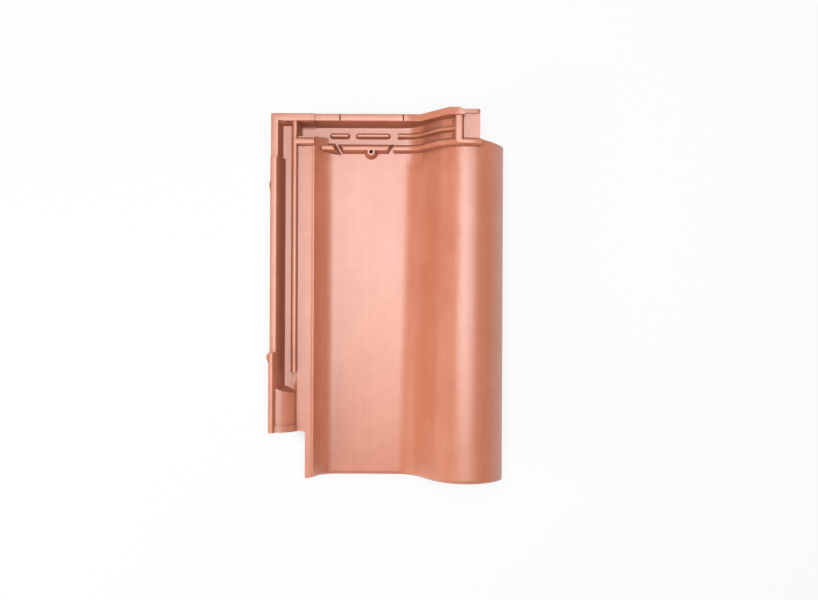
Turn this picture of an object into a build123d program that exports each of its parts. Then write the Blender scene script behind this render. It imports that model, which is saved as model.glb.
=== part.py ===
from build123d import *

import os
from math import acos, atan2, cos, hypot, radians, sin, sqrt, tan

# An interlocking S-section clay roof tile, pressed and fired in one piece.
# x runs from the side interlock to the roll, y from the tail edge to the head edge,
# and z is counted from the top of the pan at the tail edge, all in millimetres.
# A size that ends in inset is counted inwards from the roll's outer side, and one that ends
# in from_head from the head edge. Shares run across the pan, from the land to the roll's foot.

# Overall sizes
tile_width = 273.2
tile_length = 430.1
body_thickness = 12.5
pan_rise = 7.0
tail_round = 5.0
overrun = 10.0
root_depth = 4.0
crown = 0.9
draft = 20.0

# Pan and roll
pan_start_tail = 72.4
pan_start_head = 81.4
pan_fillet_radius = 17.0
roll_foot_tail_inset = 127.2
roll_foot_head_inset = 112.2
crest_inset = 44.0
crest_height = 54.8
flank_angle = 53.0
foot_arc_share = 0.4
lip_height = 24.0

# Side interlock: channel, land with its bead, rim, rib and spacer nubs
channel_height = 15.5
channel_end = 24.5
strip_start = 31.5
strip_height = 21.2
bead_foot = 46.8
bead_start = 48.0
land_end = 50.4
land_height = 22.0
haunch_start = 45.0
haunch_reach = 6.5
middle_rim_top = 7.5
middle_rim_foot = 15.9
middle_rim_rise = 16.0
high_rim_top = 5.1
high_rim_foot = 15.8
high_rim_rise = 24.5
low_step_from_head = 52.0
high_step_from_tail = 149.1
side_rib_centre = 27.9
side_rib_top = 4.1
side_rib_rise = 11.5
side_rib_draft = 16.0
side_rib_tail_end = 125.1
nub_length = 12.5
nub_height = 10.0
nub_plan_shares = (0.53, 0.8)
tail_nub_proud = 2.2
head_nub_proud = 1.1
head_nub_from_head = 80.0

# Water stop at the tail end of the side channel
stop_length = 54.0
stop_top_drop = 6.0
stop_flat_end = 15.2
stop_slope_end = 25.4
stop_slope_drop = 13.0
stop_foot = 29.8
stop_foot_drop = 19.5
stop_lip_length = 7.5
stop_lip_growth = 1.5
stop_end_skew = 25.0
stop_end_draft = 16.0

# Cut-out of the tail corner
tail_cut_width = 40.6
tail_cut_length = 55.7
tail_cut_radius = 3.0

# Head rim
head_rim_width = 8.4
head_rim_height = 25.0
head_rim_draft = 14.0
head_rim_root = 0.7
corner_rim_height = 27.5
corner_rim_draft = 21.0
corner_rim_end = 51.0
head_rim_rise_start_inset = 98.0
head_rim_rise_end_inset = 66.3
head_rim_end_inset = 48.0
head_rim_crest_rise = 7.7
rim_chamfer_width = 4.5
rim_chamfer_length = 6.8
rim_notch_width = 1.8
rim_notch_depth = 1.8
rim_notch_shares = (0.275, 0.951)

# Head channel and its ribs
channel_sink = 0.4
pocket_start = 33.3
pocket_from_head = 26.0
pocket_wall_lean = 1.9
channel_step_share = 0.135
channel_end_share = 0.955
cross_rib_from_head = 32.5
cross_rib_top = 6.0
cross_rib_rise = 6.0
inner_rib_from_head = 22.9
inner_rib_top = 3.4
inner_rib_rise = 5.5
inner_rib_spans_shares = ((0.17, 0.357), (0.449, 0.795))
inner_rib_curve_share = 0.892
outer_rib_from_head = 38.4
outer_rib_top = 5.2
outer_rib_rise = 8.5
outer_rib_curve_rise = 7.0
outer_rib_left_rise = 12.0
outer_rib_left_share = 0.186
outer_rib_middle_shares = (0.281, 0.8)
outer_rib_curve_share = 0.845
drain_slant = 31.0

# Nail boss
nail_share = 0.603
nail_from_head = 42.8
nail_hole_radius = 2.25
nail_boss_top_radius = 4.1
nail_boss_root_radius = 9.8
nail_boss_rise = 9.0

# Tongue on the crest, with the post beside it
tongue_end_inset = 29.7
tongue_from_head = 1.1
tongue_corner_radius = 2.0
tongue_rim_width = 4.8
tongue_rim_rise = 3.0
tongue_rim_end_gap = 3.0
post_start_inset = 57.8
post_end_inset = 50.4
post_rise = 6.0
roll_head_left_from_head = 34.2
roll_head_right_from_head = 39.2

# Underside
lug_depth = 18.5
lug_width = 28.0
lug_tip = 9.0
lug_root = 16.0
lug_face_from_head = 37.0
lug_shares = (0.299, 0.863)
seat_length = 20.0
seat_proud = 0.5
tail_rib_from_tail = 28.0
tail_rib_shares = (0.262, 0.9)
tail_rib_tip = 8.0
tail_rib_root = 14.0
cover_rib_inset = 32.2
cover_rib_tip = 5.0
cover_rib_root = 12.0
cover_rib_tip_height = 17.5
cover_rib_root_height = 46.0
cover_rib_from_tail = 10.0
cover_rib_from_head = 57.0


def from_head(distance):
    return tile_length - distance


def from_side(inset):
    return tile_width - inset


def across_pan(share):
    return land_end + share * (from_side(roll_foot_head_inset) - land_end)


def blend(tail_size, head_size, along):
    return tail_size + (head_size - tail_size) * along / tile_length


def pan_height(along):
    return blend(0, pan_rise, along)


def channel_floor():
    return pan_height(from_head(outer_rib_from_head)) - channel_sink


def section_plane(along):
    return Plane((0, along, 0), x_dir=(1, 0, 0), z_dir=(0, -1, 0))


def crest_radius(along):
    """Radius of the arc that leads the flank of the roll over to its crest."""
    return (1 - foot_arc_share) * roll_radii(along)


def roll_radii(along):
    """Sum of the foot and crest radii that lets both arcs meet the flank at its set angle."""
    turn = radians(flank_angle)
    reach = blend(roll_foot_tail_inset, roll_foot_head_inset, along) - crest_inset
    rise = crest_height - pan_height(along)
    return (reach * sin(turn) - rise * cos(turn)) / (1 - cos(turn))


def side_radius():
    """Radius of the roll's outer side, from the crest down to the lip."""
    drop = crest_height - lip_height
    return (crest_inset**2 + drop**2) / (2 * drop)


def roll_top(along, x):
    """Point of the roll's weather face near its crest."""
    radius = crest_radius(along) if x < from_side(crest_inset) else side_radius()
    return x, crest_height - radius + sqrt(radius**2 - (x - from_side(crest_inset)) ** 2)


def lip_point(depth):
    radius = side_radius() - depth
    below_crest = lip_height - crest_height + side_radius()
    return from_side(crest_inset) + sqrt(radius**2 - below_crest**2), lip_height


def roll_foot(along, depth):
    return from_side(blend(roll_foot_tail_inset, roll_foot_head_inset, along)), pan_height(along) - depth


def roll_curve(along, depth, end):
    """The S of the roll, depth below its weather face, from its foot to an end near the crest or lip."""
    turn = radians(flank_angle)
    slope = (cos(turn), sin(turn))
    foot = roll_foot(along, depth)
    foot_arc = foot_arc_share * roll_radii(along) + depth
    crest_arc = crest_radius(along) - depth
    crest = (from_side(crest_inset), crest_height - depth)
    flank_low = (foot[0] + foot_arc * sin(turn), foot[1] + foot_arc * (1 - cos(turn)))
    flank_high = (crest[0] - crest_arc * sin(turn), crest[1] - crest_arc * (1 - cos(turn)))
    rise = [TangentArc(foot, flank_low, tangent=(1, 0)), Line(flank_low, flank_high)]
    if end[0] < crest[0]:
        return [*rise, TangentArc(flank_high, end, tangent=slope)]
    return [
        *rise,
        TangentArc(flank_high, crest, tangent=slope),
        TangentArc(crest, end, tangent=(1, 0)),
    ]


def pan_side_tangent(along):
    """Where the straight side of the pan runs into its foot fillet."""
    centre_x = blend(pan_start_tail, pan_start_head, along)
    centre_z = pan_height(along) + pan_fillet_radius
    to_land_x = land_end - centre_x
    to_land_z = land_height - centre_z
    swing = acos(pan_fillet_radius / hypot(to_land_x, to_land_z))
    angle = atan2(to_land_z, to_land_x) + swing
    return centre_x + pan_fillet_radius * cos(angle), centre_z + pan_fillet_radius * sin(angle)


def weather_edges(along):
    """Weather face of the pan and roll, from the land to the lip."""
    land_corner = (land_end, land_height)
    tangent_point = pan_side_tangent(along)
    slope = (tangent_point[0] - land_corner[0], tangent_point[1] - land_corner[1])
    pan_corner = (blend(pan_start_tail, pan_start_head, along), pan_height(along))
    return [
        Line(land_corner, tangent_point),
        TangentArc(tangent_point, pan_corner, tangent=slope),
        Line(pan_corner, roll_foot(along, 0)),
        *roll_curve(along, 0, lip_point(0)),
    ]


def body_section(along):
    """Closed section of the tile body: side channel, land, pan and roll."""
    channel_under = channel_height - body_thickness
    strip_under = strip_height - body_thickness
    pan_under = pan_height(along) - body_thickness
    haunch_foot = (blend(pan_start_tail, pan_start_head, along) - haunch_reach, pan_under)
    side_top = Polyline(
        (0, channel_under),
        (0, channel_height),
        (channel_end, channel_height),
        (strip_start, strip_height),
        (bead_foot, strip_height),
        (bead_start, land_height),
        (land_end, land_height),
    )
    side_under = Polyline(
        roll_foot(along, body_thickness),
        haunch_foot,
        (haunch_start, strip_under),
        (strip_start, strip_under),
        (channel_end, channel_under),
        (0, channel_under),
    )
    lip = Line(lip_point(0), lip_point(body_thickness))
    under_roll = roll_curve(along, body_thickness, lip_point(body_thickness))
    outline = [side_top, *weather_edges(along), lip, *under_roll, side_under]
    return section_plane(along) * make_face(outline)


def body():
    """Ruled body between its tail and head sections, rounded over at the tail of the weather face."""
    tile = loft([body_section(0), body_section(tile_length)], ruled=True)
    tail_edges = tile.faces().sort_by(Axis.Y)[0].edges()
    middles = [section_plane(0) * Vertex(edge @ 0.5) for edge in weather_edges(0)]
    rounded = [tail_edges.sort_by_distance(middle)[0] for middle in middles]
    return fillet(rounded, tail_round)


def along_y(outline, start, end):
    """Solid with an x-z outline between two distances from the tail."""
    return section_plane(end) * extrude(outline, amount=end - start, dir=(0, 0, 1))


def along_x(outline, start, end):
    """Solid with a y-z outline between two distances from the side rim."""
    return Plane((start, 0, 0), x_dir=(0, 1, 0), z_dir=(1, 0, 0)) * extrude(
        outline, amount=end - start, dir=(0, 0, 1)
    )


def drafted_section(top_width, height, depth, angle):
    """Bar section with sloping sides and eased top edges, its foot depth below zero."""
    half_top = top_width / 2
    half_foot = half_top + (height + depth) * tan(radians(angle))
    outline = Polygon(
        (-half_foot, -depth), (half_foot, -depth), (half_top, height), (-half_top, height), align=None
    )
    return chamfer(outline.vertices().sort_by(Axis.Y)[-2:], crown)


def plan_block(outline, top_height, floor_height):
    """Block with sloping sides and an eased top edge, given by the plan of its top."""
    depth = top_height - floor_height + root_depth
    block = extrude(outline, amount=-depth, taper=-draft)
    block = chamfer(block.faces().sort_by(Axis.Z)[-1].edges(), crown)
    return Pos(0, 0, top_height) * block


def plan_bar(start, end, tail_side, head_side):
    return Polygon(
        (start, tail_side), (end, tail_side), (end, head_side), (start, head_side), align=None
    )


def side_rim():
    """The two higher stretches of the rim along the side channel."""
    low_step = from_head(low_step_from_head)
    stretches = (
        (middle_rim_top, middle_rim_foot, middle_rim_rise, high_step_from_tail, low_step),
        (high_rim_top, high_rim_foot, high_rim_rise, tail_cut_length, high_step_from_tail),
    )
    rims = []
    for top, foot, rise, start, end in stretches:
        root = foot + (foot - top) * root_depth / rise
        outline = Polygon(
            (0, channel_height - root_depth),
            (root, channel_height - root_depth),
            (top, channel_height + rise),
            (0, channel_height + rise),
            align=None,
        )
        outline = chamfer(outline.vertices().sort_by(Axis.Y)[-2:], crown)
        rims.append(along_y(outline, start, end))
    return rims


def side_rib():
    section = Pos(side_rib_centre, channel_height) * drafted_section(
        side_rib_top, side_rib_rise, root_depth, side_rib_draft
    )
    return along_y(section, side_rib_tail_end, from_head(head_rim_width))


def side_nubs():
    """Two spacer nubs on the outer face of the side rim, each with a long and a short ramp."""
    places = (
        (tail_nub_proud, high_step_from_tail, channel_height + high_rim_rise),
        (head_nub_proud, from_head(head_nub_from_head), channel_height + middle_rim_rise),
    )
    ramp_end, flat_end = [share * nub_length for share in nub_plan_shares]
    nubs = []
    for proud, head_end, top in places:
        outline = Polygon(
            (root_depth, 0),
            (root_depth, nub_length),
            (0, nub_length),
            (-proud, flat_end),
            (-proud, ramp_end),
            (0, 0),
            align=None,
        )
        nub = extrude(outline, amount=nub_height, dir=(0, 0, 1))
        nubs.append(Pos(0, head_end - nub_length, top - nub_height - crown) * nub)
    return nubs


def stop_section(growth):
    """Section of the water stop below the top of the rim: flat, slope and wall."""
    rim_top = channel_height + high_rim_rise
    base = channel_height - root_depth
    return Polygon(
        (root_depth, base),
        (root_depth, rim_top - stop_top_drop + growth),
        (stop_flat_end, rim_top - stop_top_drop + growth),
        (stop_slope_end + growth, rim_top - stop_slope_drop + growth),
        (stop_foot + growth, rim_top - stop_foot_drop),
        (stop_foot + growth, base),
        align=None,
    )


def water_stop():
    """Wedge that closes the side channel at its tail end, with a slightly larger lip."""
    block = along_y(stop_section(0), tail_cut_length, tail_cut_length + stop_length + overrun)
    skew = radians(stop_end_skew)
    facing = (sin(skew), cos(skew), tan(radians(stop_end_draft)))
    end_face = Plane((stop_flat_end, tail_cut_length + stop_length, channel_height), z_dir=facing)
    block = split(block, bisect_by=end_face, keep=Keep.BOTTOM)
    lip = along_y(stop_section(stop_lip_growth), tail_cut_length, tail_cut_length + stop_lip_length)
    return [block, lip]


def rim_section(depth, slope_depth, angle):
    """Section of the head rim below its top outer edge: inside it slopes first, then drops upright."""
    foot = head_rim_width + slope_depth * tan(radians(angle))
    outline = Polygon(
        (0, 0),
        (-head_rim_width, 0),
        (-foot, -slope_depth),
        (-foot, -depth),
        (0, -depth),
        align=None,
    )
    return chamfer(outline.vertices().sort_by(Axis.Y)[-2:], crown)


def corner_rim():
    """Rim round the head corner, mitred where the side and the head edge meet."""
    depth = corner_rim_height - channel_floor() + head_rim_root
    start = from_head(low_step_from_head)
    path = Polyline(
        (0, start, corner_rim_height),
        (0, tile_length, corner_rim_height),
        (corner_rim_end, tile_length, corner_rim_height),
    )
    start_plane = Plane((0, start, corner_rim_height), x_dir=(-1, 0, 0), z_dir=(0, 1, 0))
    section = start_plane * rim_section(depth, corner_rim_height - channel_height, corner_rim_draft)
    return sweep(section, path=path, transition=Transition.RIGHT)


def head_rim():
    """Rim along the head edge, mitred where it climbs the roll, with shallow notches and a cut end."""
    slope_depth = head_rim_height - channel_floor()
    crest = crest_height + head_rim_crest_rise
    end = from_side(head_rim_end_inset)
    path = section_plane(tile_length) * Polyline(
        (corner_rim_end, head_rim_height),
        (from_side(head_rim_rise_start_inset), head_rim_height),
        (from_side(head_rim_rise_end_inset), crest),
        (end, crest),
    )
    start_plane = Plane((corner_rim_end, tile_length, head_rim_height), x_dir=(0, 1, 0), z_dir=(1, 0, 0))
    section = start_plane * rim_section(slope_depth + head_rim_root, slope_depth, head_rim_draft)
    rim = sweep(section, path=path, transition=Transition.RIGHT)
    notch = Polygon((-rim_notch_width / 2, 0), (rim_notch_width / 2, 0), (0, -rim_notch_depth), align=None)
    notch = along_y(notch, from_head(pocket_from_head), tile_length + overrun)
    notches = [Pos(across_pan(share), 0, head_rim_height) * notch for share in rim_notch_shares]
    corner = Polygon(
        (end - rim_chamfer_width, tile_length),
        (end, from_head(rim_chamfer_length)),
        (end, tile_length),
        align=None,
    )
    corner = extrude(corner, amount=head_rim_crest_rise + overrun, dir=(0, 0, 1))
    return rim - [*notches, Pos(0, 0, crest_height) * corner]


def curved_rib(along, start, end, top_width, rise):
    """Rib that starts on the pan and climbs the roll to a place near its crest."""
    level = pan_height(along)
    run = Line((start, level), roll_foot(along, 0))
    path = section_plane(along) * Wire([run, *roll_curve(along, 0, roll_top(along, end))])
    start_plane = Plane((start, along, level), x_dir=(0, 1, 0), z_dir=(1, 0, 0))
    return sweep(start_plane * drafted_section(top_width, rise, root_depth, draft), path=path)


def inner_ribs():
    """First row of head ribs: two short round-ended ones and one that runs up the roll to the post."""
    along = from_head(inner_rib_from_head)
    ribs = []
    for shares in inner_rib_spans_shares:
        start, end = [across_pan(share) for share in shares]
        pill = Pos((start + end) / 2, along) * SlotOverall(end - start, inner_rib_top)
        ribs.append(plan_block(pill, channel_floor() + inner_rib_rise, channel_floor()))
    curve_start = across_pan(inner_rib_curve_share)
    post_middle = from_side((post_start_inset + post_end_inset) / 2)
    return [*ribs, curved_rib(along, curve_start, post_middle, inner_rib_top, inner_rib_rise)]


def outer_ribs():
    """Second row of head ribs, parted by two slanted drain gaps."""
    along = from_head(outer_rib_from_head)
    floor = pan_height(along)
    tail_side = along - outer_rib_top / 2
    head_side = along + outer_rib_top / 2
    slant = outer_rib_top * tan(radians(drain_slant))
    left_end = across_pan(outer_rib_left_share)
    left = Polygon(
        (land_end, tail_side),
        (left_end + slant, tail_side),
        (left_end, head_side),
        (land_end, head_side),
        align=None,
    )
    start, end = [across_pan(share) for share in outer_rib_middle_shares]
    middle = Polygon(
        (start + slant, tail_side),
        (end - slant, tail_side),
        (end, head_side),
        (start, head_side),
        align=None,
    )
    curve_start = across_pan(outer_rib_curve_share)
    curve_end = from_side(tongue_end_inset)
    return [
        plan_block(left, floor + outer_rib_left_rise, floor),
        plan_block(middle, floor + outer_rib_rise, floor),
        curved_rib(along, curve_start, curve_end, outer_rib_top, outer_rib_curve_rise),
    ]


def cross_rib():
    """Short rib that closes the side channel at its head end, cut off flush with the land."""
    along = from_head(cross_rib_from_head)
    half_top = cross_rib_top / 2
    bar = plan_bar(side_rib_centre, land_end + overrun, along - half_top, along + half_top)
    bar = plan_block(bar, strip_height + cross_rib_rise, strip_height)
    return split(bar, bisect_by=Plane((land_end, 0, 0), z_dir=(1, 0, 0)), keep=Keep.BOTTOM)


def nail_boss():
    along = from_head(nail_from_head)
    boss = Cone(
        nail_boss_root_radius,
        nail_boss_top_radius,
        nail_boss_rise + root_depth,
        align=(Align.CENTER, Align.CENTER, Align.MIN),
    )
    return Pos(across_pan(nail_share), along, pan_height(along) - root_depth) * boss


def tongue():
    """Flat tongue at the head end of the crest, with its low rim and the post beside it."""
    rib_line = from_head(outer_rib_from_head)
    head_end = from_head(tongue_from_head)
    rim_line = from_head(head_rim_width)
    post_start = from_side(post_start_inset)
    post_end = from_side(post_end_inset)
    end = from_side(tongue_end_inset)
    plate = Pos(post_end, rib_line, crest_height) * Box(
        end - post_end, head_end - rib_line, body_thickness, align=(Align.MIN, Align.MIN, Align.MAX)
    )
    low_rim = Polygon(
        (post_end, crest_height - root_depth),
        (end, crest_height - root_depth),
        (end, crest_height),
        (end - tongue_rim_end_gap, crest_height + tongue_rim_rise),
        (post_end, crest_height + tongue_rim_rise),
        align=None,
    )
    post = plan_bar(post_start, post_end, rib_line, rim_line)
    return [
        plate,
        along_y(low_rim, head_end - tongue_rim_width, head_end),
        plan_block(post, crest_height + post_rise, crest_height),
    ]


def batten_lugs():
    """Two hanging lugs, each with a level seat for the batten in front of its face."""
    face = from_head(lug_face_from_head)
    seat_height = pan_height(face - seat_length) - body_thickness - seat_proud
    outline = Polygon(
        (face - seat_length, 0),
        (face - seat_length, seat_height),
        (face, seat_height),
        (face, -lug_depth),
        (face + lug_tip, -lug_depth),
        (face + lug_root, 0),
        align=None,
    )
    centres = [across_pan(share) for share in lug_shares]
    return [along_x(outline, centre - lug_width / 2, centre + lug_width / 2) for centre in centres]


def tail_rib():
    """Rib under the tail that closes the joint over the head ribs of the tile below."""
    half_tip = tail_rib_tip / 2
    half_root = tail_rib_root / 2
    outline = Polygon(
        (-half_root, -body_thickness / 2),
        (half_root, -body_thickness / 2),
        (half_tip, -lug_depth),
        (-half_tip, -lug_depth),
        align=None,
    )
    start, end = [across_pan(share) for share in tail_rib_shares]
    return Pos(0, tail_rib_from_tail, 0) * along_x(outline, start, end)


def cover_rib():
    """Rib under the roll that hangs into the side channel of the next tile."""
    centre = from_side(cover_rib_inset)
    outline = Polygon(
        (centre - cover_rib_root / 2, cover_rib_root_height),
        (centre + cover_rib_root / 2, cover_rib_root_height),
        (centre + cover_rib_tip / 2, cover_rib_tip_height),
        (centre - cover_rib_tip / 2, cover_rib_tip_height),
        align=None,
    )
    return along_y(outline, cover_rib_from_tail, from_head(cover_rib_from_head))


def corner_floor():
    """Thicker underside of the head corner, below the sunk floor."""
    floor_under = channel_floor() - body_thickness
    left = pocket_start - body_thickness
    outline = Polygon(
        (left, channel_height - root_depth),
        (left, channel_height - body_thickness),
        (pocket_start, floor_under),
        (pan_start_head, floor_under),
        (pan_start_head, channel_floor()),
        (land_end, channel_height - root_depth),
        align=None,
    )
    return along_y(outline, from_head(pocket_from_head + body_thickness), tile_length)


def head_channel():
    """Sunk floor behind the outer ribs, widened at the head corner as far as the side rib."""
    step = across_pan(channel_step_share)
    end = across_pan(channel_end_share)
    corner_line = from_head(pocket_from_head)
    rib_line = from_head(outer_rib_from_head)
    past_head = tile_length + overrun
    outline = Polygon(
        (pocket_start, corner_line),
        (step, corner_line),
        (step, rib_line),
        (end, rib_line),
        (end, past_head),
        (pocket_start, past_head),
        align=None,
    )
    floor = Pos(0, 0, channel_floor()) * extrude(outline, amount=land_height, dir=(0, 0, 1))
    wall = Polygon(
        (pocket_start, channel_floor()),
        (pocket_start, strip_height),
        (pocket_start - pocket_wall_lean, strip_height),
        align=None,
    )
    return [floor, along_y(wall, corner_line, past_head)]


def plan_cut(points, corner, radius):
    """Cut straight down through the tile, rounded at one corner of its plan."""
    outline = Polygon(*points, align=None)
    outline = fillet(outline.vertices().sort_by_distance(corner)[0], radius)
    deep = lug_depth + crest_height + overrun
    return Pos(0, 0, -deep) * extrude(outline, amount=2 * deep, dir=(0, 0, 1))


def tail_corner_cut():
    corner = (tail_cut_width, tail_cut_length)
    points = ((-overrun, -overrun), (tail_cut_width, -overrun), corner, (-overrun, tail_cut_length))
    return plan_cut(points, corner, tail_cut_radius)


def head_corner_cut():
    """The roll stops short of the head edge beside the tongue."""
    past_head = tile_length + overrun
    past_side = tile_width + overrun
    rim_end = from_side(head_rim_end_inset)
    tongue_head = from_head(tongue_from_head)
    tongue_end = from_side(tongue_end_inset)
    corner = (tongue_end, from_head(roll_head_left_from_head))
    points = (
        (rim_end, past_head),
        (rim_end, tongue_head),
        (tongue_end, tongue_head),
        corner,
        (tile_width, from_head(roll_head_right_from_head)),
        (past_side, from_head(roll_head_right_from_head)),
        (past_side, past_head),
    )
    return plan_cut(points, corner, tongue_corner_radius)


def nail_hole():
    deep = lug_depth + nail_boss_rise + overrun
    return Pos(across_pan(nail_share), from_head(nail_from_head)) * Cylinder(nail_hole_radius, 2 * deep)


def roof_tile():
    side_parts = [*side_rim(), side_rib(), *side_nubs(), *water_stop()]
    rims = [corner_rim(), head_rim()]
    head_parts = [cross_rib(), *inner_ribs(), *outer_ribs(), nail_boss(), *tongue()]
    tile = body() + corner_floor() - head_channel()
    tile = tile + [*rims, *side_parts, *head_parts, *batten_lugs(), tail_rib(), cover_rib()]
    tile = tile - [tail_corner_cut(), head_corner_cut(), nail_hole()]
    box = tile.bounding_box()
    return Pos(-box.center().X, -box.center().Y, -box.min.Z) * tile


os.makedirs("parts", exist_ok=True)
export_step(roof_tile(), "parts/roof_tile.step")
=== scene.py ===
from math import acos, atan2, cos, degrees, hypot, radians, sin, sqrt

import bmesh
import bpy
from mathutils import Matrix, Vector
from mathutils.bvhtree import BVHTree


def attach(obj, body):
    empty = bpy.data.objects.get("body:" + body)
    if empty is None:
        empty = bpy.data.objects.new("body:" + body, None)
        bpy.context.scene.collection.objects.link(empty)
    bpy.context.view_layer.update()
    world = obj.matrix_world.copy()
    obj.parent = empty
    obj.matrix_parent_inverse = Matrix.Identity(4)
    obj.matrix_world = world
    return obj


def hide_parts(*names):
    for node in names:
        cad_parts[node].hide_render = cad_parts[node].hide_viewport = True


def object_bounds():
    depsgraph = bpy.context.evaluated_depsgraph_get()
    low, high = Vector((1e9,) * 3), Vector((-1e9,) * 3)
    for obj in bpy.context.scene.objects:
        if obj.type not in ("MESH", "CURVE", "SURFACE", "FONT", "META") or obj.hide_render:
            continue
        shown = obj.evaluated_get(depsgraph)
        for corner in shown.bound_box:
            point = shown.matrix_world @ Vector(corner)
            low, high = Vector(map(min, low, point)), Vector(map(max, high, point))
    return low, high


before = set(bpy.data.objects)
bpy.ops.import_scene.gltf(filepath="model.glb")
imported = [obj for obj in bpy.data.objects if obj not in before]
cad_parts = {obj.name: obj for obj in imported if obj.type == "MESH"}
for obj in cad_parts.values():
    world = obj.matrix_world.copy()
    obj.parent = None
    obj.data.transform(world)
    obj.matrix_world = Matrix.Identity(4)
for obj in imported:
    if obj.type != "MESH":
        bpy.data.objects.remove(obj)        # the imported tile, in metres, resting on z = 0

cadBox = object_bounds()
scene = bpy.context.scene
print("frame loaded:", sorted(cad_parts))


def linearColour(hexCode):
    # sRGB hex to the linear values that the shader sockets take
    channels = [int(hexCode[i:i + 2], 16) / 255 for i in (1, 3, 5)]
    return tuple(c / 12.92 if c <= 0.04045 else ((c + 0.055) / 1.055) ** 2.4 for c in channels) + (1.0,)


def addNode(tree, kind, settings=None, links=None):
    # settings: attribute, input name or input number to value; links: input to an output socket
    node = tree.nodes.new(kind)
    for name, value in (settings or {}).items():
        if isinstance(name, str) and hasattr(node, name):
            setattr(node, name, value)
        else:
            node.inputs[name].default_value = value
    for name, socket in (links or {}).items():
        tree.links.new(socket, node.inputs[name])
    return node


def newMaterial(name):
    material = bpy.data.materials.new(name)
    material.use_nodes = True
    material.node_tree.nodes.clear()
    return material, material.node_tree


# red clay, pressed in a smooth mould, dipped in a thin slip and fired: a satin, warm, faintly
# mottled skin with flow streaks along the pressing, painted shade in its recesses, paler on rubbed edges with a
# painted edge highlight
firedClay = {
    "body": "#D18061",
    "pale": "#D68768",          # drier patches
    "ruddy": "#CC795A",         # patches that took more fire
    "recessShade": "#9A5840",        # painted shade on the sides and floors of the channels
    "wornAndHighlit": "#E3A085",          # edges rubbed by stacking, with a painted edge highlight
    "speck": "#9C5640",         # iron specks
    "patchMm": 42,
    "streakMm": (7, 150),       # across and along the tile
    "grainMm": 2.4,             # the sand is nearer 0.3 mm, drawn coarser so that it shows
    "speckMm": 9.0,             # mean spacing; each speck is drawn larger than the real 0.4 mm
    "recessShadeMm": 30,
    "levelShare": 0.45,         # of the painted recess shade, on level floors
    "steepFrom": (0.8, 0.6),    # upward part of the normal where a side starts to count as steep, and does
    "openTo": (0.98, 0.6),      # open sky where the painted recess shade starts, and where it is full
    "streakShare": 0.28,        # of the mottling, the rest is patches
    "speckShare": 0.3,
    "edgeMm": 1.3,
    "edgeShare": 0.6,           # of the rubbed tone and painted edge highlight, on the sharpest edges
    "grainHeightMm": 0.035,
    "roughness": (0.36, 0.46),
    "ior": 1.62,
    "slipCoat": 0.8,            # the thin fired slip that gives the satin shine
    "slipRoughness": 0.39,
}


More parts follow.
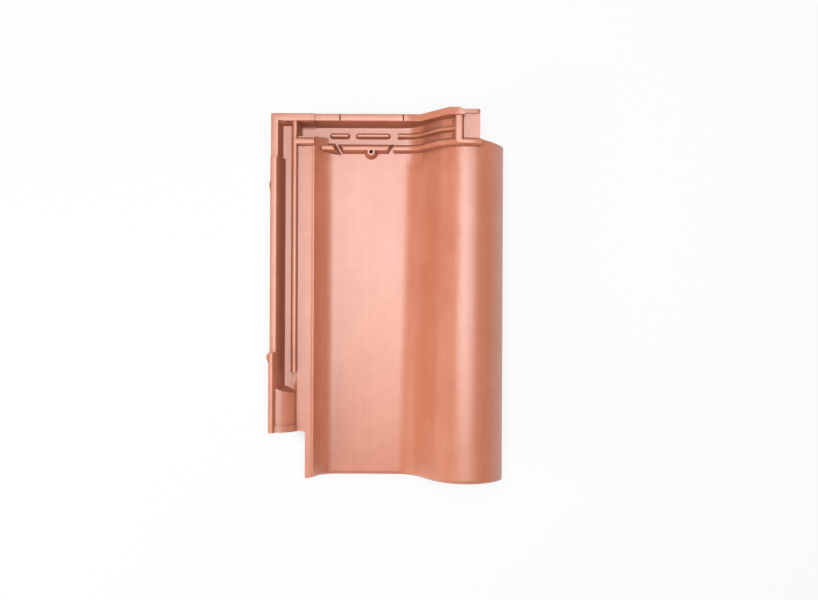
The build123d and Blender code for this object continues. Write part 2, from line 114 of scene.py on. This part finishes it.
def firedClayMaterial():
    clay = firedClay
    material, tree = newMaterial("firedRedClay")
    place = addNode(tree, "ShaderNodeTexCoord").outputs["Object"]

    # broad patches from the kiln, and faint streaks where the clay flowed in the press
    patch = addNode(tree, "ShaderNodeTexNoise",
                    {"Scale": 1000 / clay["patchMm"], "Detail": 4.0, "Roughness": 0.6},
                    {"Vector": place}).outputs["Fac"]
    across, along = clay["streakMm"]
    stretched = addNode(tree, "ShaderNodeMapping",
                        {"Scale": (1000 / across, 1000 / along, 1000 / across)},
                        {"Vector": place}).outputs[0]
    streak = addNode(tree, "ShaderNodeTexNoise", {"Scale": 1.0, "Detail": 3.0},
                     {"Vector": stretched}).outputs["Fac"]
    grain = addNode(tree, "ShaderNodeTexNoise",
                    {"Scale": 1000 / clay["grainMm"], "Detail": 3.0, "Roughness": 0.65},
                    {"Vector": place}).outputs["Fac"]
    mottle = addNode(tree, "ShaderNodeMix", {"data_type": "FLOAT", "Factor": clay["streakShare"]},
                     {2: patch, 3: streak}).outputs[0]
    skin = addNode(tree, "ShaderNodeValToRGB", links={"Fac": mottle})
    ramp = skin.color_ramp.elements
    ramp[0].position, ramp[0].color = 0.34, linearColour(clay["ruddy"])
    ramp[1].position, ramp[1].color = 0.66, linearColour(clay["pale"])
    middle = ramp.new(0.5)
    middle.color = linearColour(clay["body"])

    # scattered iron specks
    cells = addNode(tree, "ShaderNodeTexVoronoi", {"Scale": 1000 / clay["speckMm"]}, {"Vector": place})
    speck = addNode(tree, "ShaderNodeMapRange",
                    {"From Min": 0.06, "From Max": 0.12, "To Min": clay["speckShare"], "To Max": 0.0},
                    {"Value": cells.outputs["Distance"]}).outputs[0]
    speckled = addNode(tree, "ShaderNodeMix", {"data_type": "RGBA", 7: linearColour(clay["speck"])},
                       {0: speck, 6: skin.outputs[0]}).outputs[2]

    # painted shade: recesses go browner, most on their steep sides
    hollow = addNode(tree, "ShaderNodeAmbientOcclusion",
                     {"samples": 8, "Distance": clay["recessShadeMm"] / 1000}).outputs["AO"]
    openStart, openFull = clay["openTo"]
    closed = addNode(tree, "ShaderNodeMapRange",
                     {"From Min": openStart, "From Max": openFull, "To Min": 0.0, "To Max": 1.0},
                     {"Value": hollow}).outputs[0]
    facing = addNode(tree, "ShaderNodeNewGeometry").outputs
    upward = addNode(tree, "ShaderNodeSeparateXYZ", links={0: facing["Normal"]}).outputs["Z"]
    steepStart, steepFull = clay["steepFrom"]
    steep = addNode(tree, "ShaderNodeMapRange",
                    {"From Min": steepStart, "From Max": steepFull,
                     "To Min": clay["levelShare"], "To Max": 1.0},
                    {"Value": upward}).outputs[0]
    shade = addNode(tree, "ShaderNodeMath", {"operation": "MULTIPLY"}, {0: closed, 1: steep}).outputs[0]
    # painted shade from the occlusion and steepness mask, mixed over the skin colour
    paintedShadeSkin = addNode(tree, "ShaderNodeMix", {"data_type": "RGBA", 7: linearColour(clay["recessShade"])},
                       {0: shade, 6: speckled}).outputs[2]

    # rubbed edges with a painted edge highlight: where a slightly rounded normal leaves the true one
    eased = addNode(tree, "ShaderNodeBevel", {"samples": 6, "Radius": clay["edgeMm"] / 1000}).outputs[0]
    turn = addNode(tree, "ShaderNodeVectorMath", {"operation": "DOT_PRODUCT"},
                   {0: eased, 1: facing["True Normal"]}).outputs["Value"]
    rim = addNode(tree, "ShaderNodeMapRange",
                  {"From Min": 0.97, "From Max": 0.8, "To Min": 0.0, "To Max": clay["edgeShare"]},
                  {"Value": turn}).outputs[0]
    rubbedAndHighlight = addNode(tree, "ShaderNodeMath", {"operation": "MULTIPLY"}, {0: rim, 1: grain}).outputs[0]
    # paler rubbed tone with a painted edge highlight, mixed over the skin colour
    colour = addNode(tree, "ShaderNodeMix", {"data_type": "RGBA", 7: linearColour(clay["wornAndHighlit"])},
                     {0: rubbedAndHighlight, 6: paintedShadeSkin}).outputs[2]

    smooth, dull = clay["roughness"]
    gloss = addNode(tree, "ShaderNodeMapRange",
                    {"From Min": 0.3, "From Max": 0.7, "To Min": smooth, "To Max": dull},
                    {"Value": grain}).outputs[0]
    bump = addNode(tree, "ShaderNodeBump", {"Strength": 1.0, "Distance": clay["grainHeightMm"] / 1000},
                   {"Height": grain}).outputs[0]
    shader = addNode(tree, "ShaderNodeBsdfPrincipled",
                     {"IOR": clay["ior"], "Coat Weight": clay["slipCoat"],
                      "Coat Roughness": clay["slipRoughness"]},
                     {"Base Color": colour, "Roughness": gloss, "Normal": bump})
    addNode(tree, "ShaderNodeOutputMaterial", links={"Surface": shader.outputs[0]})
    return material


# the tile itself: a merged copy of the pressed body, shaded smooth up to its edges
tilePiece = {
    "node": "roof_tile",
    "mergeMm": 0.01,
    "flatAngle": 0.4,     # facets within this many degrees join to one flat face
    "sharpAngle": 50,     # edges sharper than this stay crisp, the eased crowns shade round
    "flatWeight": 50,     # how far large faces win when the normals are averaged
    "crestX": 0.0937,     # the roll's right side: its middle line and its round, in metres
    "sideCentreZ": 0.02647,
    "sideRadius": 0.04682,
    "lipAngle": 70,       # degrees round from the crest to the lip
    "tailRound": 0.005,
    "lipShare": 0.2,      # how much of the tail rounding is left at the lip
    "lipFade": 1.5,       # the rounding runs out faster near the lip
}


def easeTail(bm):
    # the tail edge is rounded over the crest and runs out to a nearly square corner at the lip
    piece = tilePiece
    tailY = cadBox[0][1]
    roundY = tailY + piece["tailRound"] + 1e-5
    roundReach = piece["sideRadius"] - piece["tailRound"] - 1e-5
    for vert in bm.verts:
        dx, dz = vert.co.x - piece["crestX"], vert.co.z - piece["sideCentreZ"]
        reach = hypot(dx, dz)
        if dx <= 0 or dz < 0 or vert.co.y >= roundY or reach <= roundReach:
            continue
        turn = min(degrees(atan2(dx, dz)) / piece["lipAngle"], 1.0)
        keep = 1.0 - (1.0 - piece["lipShare"]) * turn ** piece["lipFade"]
        corner = Vector((piece["crestX"] + dx / reach * piece["sideRadius"], tailY,
                         piece["sideCentreZ"] + dz / reach * piece["sideRadius"]))
        vert.co = corner + (vert.co - corner) * keep


# the pan's side by the land: steep at the land and flattening out into the pan, all in millimetres
panSide = {
    "landX": -85.1, "landZ": 40.5,
    "panZ": (18.5, 25.5),           # pan at the tail and at the head
    "filletX": (-63.1, -54.1),      # where the foot fillet of the solid meets the pan
    "filletRadius": 17.0,
    "blendX": (-57.0, -52.0),       # where the curved side runs out on the pan
    "sweep": 3.0,                   # 2 is a plain parabola, more is steeper at the land
    "tailRound": 5.0,
    "slack": (0.35, 1.2),           # how far a point may lie off the reckoned side: at the ends, and added midway
    "cuts": 12,
    "panReach": 90,                 # how far over the pan the faces go that the cuts have to reach
    "landSlack": 0.05,
}


def panSideHeights(u, v):
    # height of the solid's side and of the curved one at u across and v along the tile
    side = panSide
    share = (v / 1000 - cadBox[0][1]) / (cadBox[1][1] - cadBox[0][1])
    panZ, filletX, blendX = [tail + (head - tail) * share
                             for tail, head in (side["panZ"], side["filletX"], side["blendX"])]
    radius = side["filletRadius"]
    dx, dz = side["landX"] - filletX, side["landZ"] - panZ - radius
    turn = atan2(dz, dx) + acos(radius / hypot(dx, dz))
    meetX, meetZ = filletX + radius * cos(turn), panZ + radius + radius * sin(turn)
    if u < meetX:
        solid = side["landZ"] + (meetZ - side["landZ"]) * (u - side["landX"]) / (meetX - side["landX"])
    elif u < filletX:
        solid = panZ + radius - sqrt(radius ** 2 - (u - filletX) ** 2)
    else:
        solid = panZ
    run = max(0.0, 1.0 - (u - side["landX"]) / (blendX - side["landX"]))
    return solid, panZ + (side["landZ"] - panZ) * run ** side["sweep"]


def inTailRound(v):
    return v < cadBox[0][1] * 1000 + panSide["tailRound"] - 0.01


def onPanSide(vert):
    u, v, z = [c * 1000 for c in vert.co]
    if not panSide["landX"] - 0.01 <= u <= max(panSide["blendX"]) + 0.01:
        return False
    solid = panSideHeights(u, v)[0]
    share = (vert.co.y - cadBox[0][1]) / (cadBox[1][1] - cadBox[0][1])
    endSlack, bow = panSide["slack"]
    slack = endSlack + 4 * bow * share * (1 - share)
    lowest = slack + (panSide["tailRound"] if inTailRound(v) else 0.0)
    return solid - lowest < z < solid + slack


def cutFaces(bm, faces, placeMm, normal):
    # each edge and corner once, in the same order every run
    edges = dict.fromkeys(e for f in faces for e in f.edges)
    verts = dict.fromkeys(v for f in faces for v in f.verts)
    bmesh.ops.bisect_plane(bm, geom=[*faces, *edges, *verts], dist=1e-7,
                           plane_co=[c / 1000 for c in placeMm], plane_no=normal)


def curvePanSide(bm):
    first, last = panSide["landX"], max(panSide["blendX"])
    for k in range(1, panSide["cuts"] + 1):
        faces = [f for f in bm.faces if f.normal.z > 0
                 and all(v.co.x * 1000 < last + panSide["panReach"] for v in f.verts)
                 and any(onPanSide(v) for v in f.verts)]
        cutFaces(bm, faces, (first + (last - first) * k / panSide["cuts"], 0, 0), (1, 0, 0))
    for vert in bm.verts:
        if onPanSide(vert):
            solid, curved = panSideHeights(vert.co.x * 1000, vert.co.y * 1000)
            # over the rounded tail edge the depth below the side is kept
            depth = solid - vert.co.z * 1000 if inTailRound(vert.co.y * 1000) else 0.0
            vert.co.z = (curved - depth) / 1000


# the foot of the roll's slope: the solid's small fillet, widened towards the head, all in millimetres
rollFoot = {
    "acrossX": (-8.0, 44.0, 62.0),     # starts, starts to fade, is gone
    "riseX": 8.0,                      # over this width it grows from nothing
    "alongY": (-209.5, 150.0, 166.0),  # nothing at the tail, widest, gone at the ribs
    "reach": 15.0,                     # how far to each side the height is averaged at the widest
    "samples": 9,
    "cuts": (22, 6),                   # across and along the tile
    "upright": 0.3,                    # faces steeper than this aren't cut
    "cutReach": (80, 5),               # how far past the foot a face may go, to the pan and to the roll
    "onSurface": 0.05,                 # a point this near to the weather face is on it
    "skyZ": 200,                       # heights are looked down for from here
}


def footReach(x, y):
    startX, fadeX, endX = rollFoot["acrossX"]
    tailY, wideY, endY = rollFoot["alongY"]
    if not (startX < x < endX and tailY < y < endY):
        return 0.0
    across = min(1.0, (endX - x) / (endX - fadeX), (x - startX) / rollFoot["riseX"])
    along = (y - tailY) / (wideY - tailY) if y < wideY else (endY - y) / (endY - wideY)
    return rollFoot["reach"] * across * along


def topHeight(surface, x, y):
    hit = surface.ray_cast([c / 1000 for c in (x, y, rollFoot["skyZ"])], (0, 0, -1))[0]
    return hit.z * 1000 if hit else None


def widenFoot(bm):
    surface = BVHTree.FromBMesh(bm)
    startX, _, endX = rollFoot["acrossX"]
    tailY, wideY, endY = rollFoot["alongY"]
    cutsAcross, cutsAlong = rollFoot["cuts"]
    panReach, rollReach = rollFoot["cutReach"]
    planes = [((startX + (endX - startX) * k / cutsAcross, 0, 0), (1, 0, 0)) for k in range(cutsAcross + 1)]
    planes += [((0, y, 0), (0, 1, 0)) for y in (wideY, (wideY + endY) / 2, endY)]
    planes += [((0, tailY + (wideY - tailY) * k / cutsAlong, 0), (0, 1, 0)) for k in range(cutsAlong)]
    for place, normal in planes:
        faces = [f for f in bm.faces if f.normal.z > rollFoot["upright"]
                 and all(startX - panReach < v.co.x * 1000 < endX + rollReach for v in f.verts)
                 and any(v.co.x * 1000 > startX for v in f.verts)]
        cutFaces(bm, faces, place, normal)
    moved = {}
    for vert in bm.verts:
        x, y, z = vert.co * 1000
        reach = footReach(x, y)
        top = topHeight(surface, x, y) if reach > 0 else None
        if top is None or abs(top - z) > rollFoot["onSurface"]:
            continue
        steps = [reach * (2 * k / (rollFoot["samples"] - 1) - 1) for k in range(rollFoot["samples"])]
        heights = [topHeight(surface, x + step, y) for step in steps]
        heights = [height for height in heights if height is not None]
        moved[vert] = sum(heights) / len(heights) / 1000
    for vert, height in moved.items():
        vert.co.z = height
    print("roll foot widened:", len(moved), "points")


def makeTile():
    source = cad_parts[tilePiece["node"]]
    mesh = bpy.data.meshes.new("clayTile")
    bm = bmesh.new()
    bm.from_mesh(source.data)
    bmesh.ops.remove_doubles(bm, verts=bm.verts, dist=tilePiece["mergeMm"] / 1000)
    curvePanSide(bm)
    widenFoot(bm)
    bmesh.ops.dissolve_limit(bm, angle_limit=radians(tilePiece["flatAngle"]),
                             verts=bm.verts, edges=bm.edges)
    easeTail(bm)
    for face in bm.faces:
        face.smooth = True
    bm.to_mesh(mesh)
    bm.free()
    oldNormals = mesh.attributes.get("custom_normal")     # made for loose triangles, wrong on a merged mesh
    if oldNormals:
        mesh.attributes.remove(oldNormals)
    mesh.set_sharp_from_angle(angle=radians(tilePiece["sharpAngle"]))
    slack = panSide["landSlack"]
    for edge in mesh.edges:
        ends = [mesh.vertices[i].co * 1000 for i in edge.vertices]
        if all(abs(end.x - panSide["landX"]) < slack and abs(end.z - panSide["landZ"]) < slack for end in ends):
            edge.use_edge_sharp = True      # the land keeps its crisp edge to the pan's side
    tile = bpy.data.objects.new("clayTile", mesh)
    scene.collection.objects.link(tile)
    shading = tile.modifiers.new("flatsKeepTheirNormal", "WEIGHTED_NORMAL")
    shading.weight = tilePiece["flatWeight"]
    shading.keep_sharp = True
    mesh.materials.clear()
    mesh.materials.append(firedClayMaterial())
    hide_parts(tilePiece["node"])
    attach(tile, "root")
    print("tile:", len(mesh.polygons), "faces")


makeTile()

# pale studio floor: white to the camera, with a faint soft shadow left in it
studioFloor = {
    "sizeM": 12.0,
    "colour": "#F4F3F1",
    "whiteShare": 0.85,
    "shadowM": 0.08,          # how far round a point of the floor the tile is looked for
    "shadowTo": (0.2, 0.5),   # open sky at which the white starts, and is full
}


def seenRays(tree):
    # one for rays that see a surface, straight or in a reflection, none for those that only carry light
    rays = addNode(tree, "ShaderNodeLightPath").outputs
    seen = addNode(tree, "ShaderNodeMath", {"operation": "ADD"},
                   {0: rays["Is Camera Ray"], 1: rays["Is Glossy Ray"]}).outputs[0]
    return addNode(tree, "ShaderNodeMath", {"operation": "ADD", "use_clamp": True},
                   {0: seen, 1: rays["Is Transmission Ray"]}).outputs[0]


def makeFloor():
    mesh = bpy.data.meshes.new("studioFloor")
    bm = bmesh.new()
    bmesh.ops.create_grid(bm, x_segments=1, y_segments=1, size=studioFloor["sizeM"] / 2)
    bm.to_mesh(mesh)
    bm.free()
    floor = bpy.data.objects.new("studioFloor", mesh)
    scene.collection.objects.link(floor)
    material, tree = newMaterial("paleFloor")
    diffuse = addNode(tree, "ShaderNodeBsdfDiffuse", {"Color": linearColour(studioFloor["colour"])})
    white = addNode(tree, "ShaderNodeEmission", {"Strength": 1.0})
    # under the tile the floor stays as dark as its shadow makes it
    openSky = addNode(tree, "ShaderNodeAmbientOcclusion",
                      {"samples": 16, "Distance": studioFloor["shadowM"]}).outputs["AO"]
    dark, clear = studioFloor["shadowTo"]
    openSky = addNode(tree, "ShaderNodeMapRange",
                      {"From Min": dark, "From Max": clear, "To Min": 0.0, "To Max": studioFloor["whiteShare"]},
                      {"Value": openSky}).outputs[0]
    share = addNode(tree, "ShaderNodeMath", {"operation": "MULTIPLY"},
                    {0: seenRays(tree), 1: openSky}).outputs[0]
    mix = addNode(tree, "ShaderNodeMixShader",
                  links={"Fac": share, 1: diffuse.outputs[0], 2: white.outputs[0]})
    addNode(tree, "ShaderNodeOutputMaterial", links={"Surface": mix.outputs[0]})
    mesh.materials.append(material)


makeFloor()
print("floor laid")

# soft studio light: one wide box overhead, a long strip low on the channel side, and a dim room
studioLight = {
    "roomColour": "#FFFFFF",
    "roomStrength": 0.06,
    "backdropStrength": 0.86,     # white past the floor's far edge, as the camera and the gloss see it
    "backdropTop": (0.12, 0.35),  # sine of the height at which it starts to fade and is gone
    "lamps": {
        "overheadBox": {"watts": 21.8, "sizeM": (1.0, 1.0), "placeM": (0.05, 0.15, 1.5),
                        "aimM": (0.05, 0.15, 0.0), "glossy": True},
        "sideStrip": {"watts": 9.4, "sizeM": (1.2, 0.5), "placeM": (-1.2, -0.5, 0.62),
                      "aimM": (0.0, 0.0, 0.02), "glossy": False},   # fills without a streak of its own
    },
}


def makeLight():
    world = bpy.data.worlds.new("studioRoom")
    world.use_nodes = True
    tree = world.node_tree
    tree.nodes.clear()
    white = linearColour(studioLight["roomColour"])
    room = addNode(tree, "ShaderNodeBackground",
                   {"Color": white, "Strength": studioLight["roomStrength"]})
    backdrop = addNode(tree, "ShaderNodeBackground",
                       {"Color": white, "Strength": studioLight["backdropStrength"]})
    direction = addNode(tree, "ShaderNodeTexCoord").outputs["Generated"]
    height = addNode(tree, "ShaderNodeSeparateXYZ", links={0: direction}).outputs["Z"]
    low, high = studioLight["backdropTop"]
    band = addNode(tree, "ShaderNodeMapRange",
                   {"From Min": low, "From Max": high, "To Min": 1.0, "To Max": 0.0},
                   {"Value": height}).outputs[0]
    share = addNode(tree, "ShaderNodeMath", {"operation": "MULTIPLY"},
                    {0: band, 1: seenRays(tree)}).outputs[0]
    mix = addNode(tree, "ShaderNodeMixShader",
                  links={"Fac": share, 1: room.outputs[0], 2: backdrop.outputs[0]})
    addNode(tree, "ShaderNodeOutputWorld", links={"Surface": mix.outputs[0]})
    scene.world = world
    for name, lamp in studioLight["lamps"].items():
        data = bpy.data.lights.new(name, "AREA")
        data.shape = "RECTANGLE"
        data.size, data.size_y = lamp["sizeM"]
        data.energy = lamp["watts"]
        box = bpy.data.objects.new(name, data)
        box.location = lamp["placeM"]
        box.visible_glossy = lamp["glossy"]
        aim = Vector(lamp["aimM"]) - Vector(lamp["placeM"])
        box.rotation_euler = aim.to_track_quat("-Z", "Y").to_euler()
        scene.collection.objects.link(box)


makeLight()
print("lights set")

# the photograph looks straight down on the tile; its middle is not the tile's middle
viewCamera = {
    "placeM": (0.0275, -0.00395, 1.0065),
    "rollRad": 0.0045,
    "lensMm": 36.0,
    "sensorMm": 36.0,
}


def makeCamera():
    data = bpy.data.cameras.new("topCamera")
    data.sensor_fit = "HORIZONTAL"
    data.sensor_width = viewCamera["sensorMm"]
    data.lens = viewCamera["lensMm"]
    camera = bpy.data.objects.new("topCamera", data)
    camera.location = viewCamera["placeM"]
    camera.rotation_euler = (0, 0, viewCamera["rollRad"])
    scene.collection.objects.link(camera)
    scene.camera = camera


makeCamera()
print("camera set")

scene.view_settings.view_transform = "Standard"
